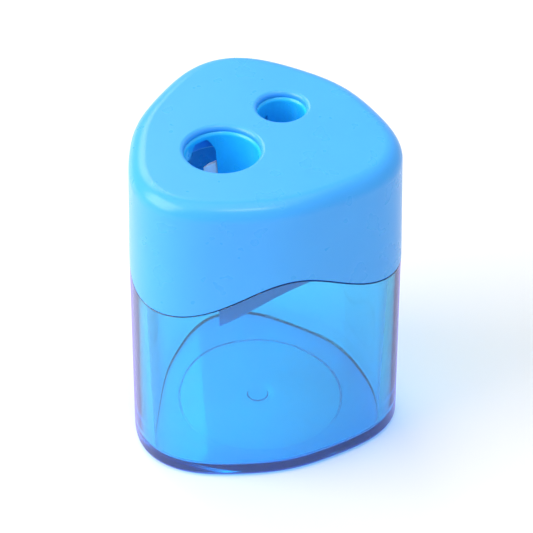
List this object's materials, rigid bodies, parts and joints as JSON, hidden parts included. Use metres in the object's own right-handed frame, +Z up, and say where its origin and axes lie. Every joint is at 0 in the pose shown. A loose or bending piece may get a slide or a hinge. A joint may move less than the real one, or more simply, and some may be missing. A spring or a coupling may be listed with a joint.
{
  "type": "pencil sharpener",
  "caption": "Hand pencil sharpener for thick and standard pencils: a lift-off lid holding steel-bladed sharpener bodies over a clear tub that collects the shavings.",
  "frame": {"origin": "middle of the bounding box of the whole object, at its underside, where it stands", "axes": "+Z up out of the pencil holes; the rounded triangle's corner by the large pencil hole points to -Y"},
  "size_m": [0.0444, 0.0454, 0.0551],
  "materials": {
    "clear_plastic": "transparent blue moulded polystyrene, glossy",
    "lid_plastic": "opaque sky blue moulded plastic, semi-gloss",
    "body_plastic": "opaque deep blue moulded plastic, semi-gloss",
    "blade_steel": "ground and polished blade steel",
    "screw_steel": "plated steel"
  },
  "bodies": {
    "tub_body": {"tub": "clear_plastic"},
    "lid_body": {"lid": "lid_plastic", "large_sharpener_body": "body_plastic", "large_blade": "blade_steel", "large_blade_screw": "screw_steel", "small_sharpener_body": "body_plastic", "small_blade": "blade_steel", "small_blade_screw": "screw_steel"}
  },
  "joints": [
    {"name": "lid_lift", "type": "slide", "parent": "tub_body", "child": "lid_body", "axis": [0, 0, 1], "range_m": [0, 0.022]}
  ]
}
